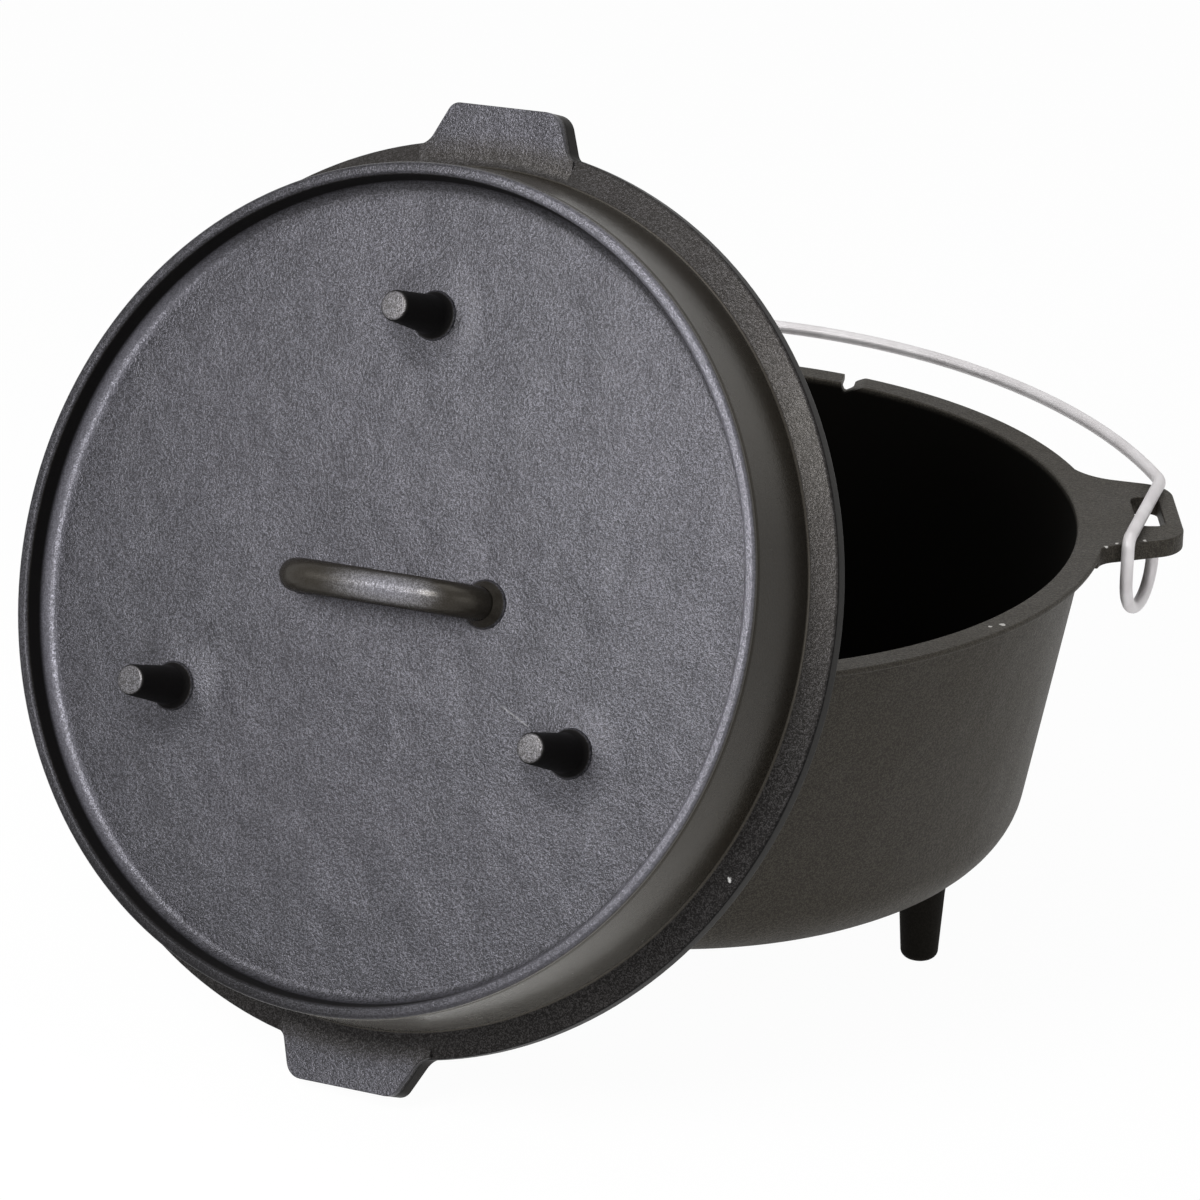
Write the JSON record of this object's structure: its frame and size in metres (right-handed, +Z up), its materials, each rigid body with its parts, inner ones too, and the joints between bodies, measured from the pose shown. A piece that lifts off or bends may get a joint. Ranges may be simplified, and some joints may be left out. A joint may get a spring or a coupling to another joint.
{
  "type": "camp dutch oven",
  "caption": "Cast-iron camp dutch oven on legs, with a swinging wire bail through its ears and a flanged, footed lid with a raised edge leaning on the rim.",
  "frame": {"origin": "on the pot's axis, on the ground that its three legs stand on", "axes": "+Z up along the pot's axis, +X through the middle of the ear on the right, +Y away from the side that the lid leans on"},
  "size_m": [0.4, 0.3764, 0.3059],
  "materials": {
    "pot_iron": "seasoned, dark and matt with fine sand-cast grain",
    "lid_iron": "seasoned, dark grey with pebbled sand-cast grain",
    "bail_wire": "pale zinc-plated wire, satin"
  },
  "bodies": {
    "pot": {"pot_body": "pot_iron", "leg_front_right": "pot_iron", "leg_back": "pot_iron", "leg_front_left": "pot_iron", "ear_right": "pot_iron", "ear_left": "pot_iron"},
    "lid": {"lid_plate": "lid_iron", "lid_skirt": "lid_iron", "lid_coal_rim": "lid_iron", "lid_handle": "lid_iron", "lid_foot_top": "lid_iron", "lid_foot_left": "lid_iron", "lid_foot_right": "lid_iron", "lid_tab_top": "lid_iron", "lid_tab_bottom": "lid_iron"},
    "bail": {"bail": "bail_wire"}
  },
  "joints": [
    {"name": "bail_swing", "type": "hinge", "parent": "pot", "child": "bail", "pos_m": [0, -0.03071, 0.1403], "axis": [1, 0, 0], "range_deg": [0, 50]},
    {"name": "lid_lift", "type": "slide", "parent": "pot", "child": "lid", "axis": [0, 0, 1], "range_m": [0, 0.35]}
  ]
}
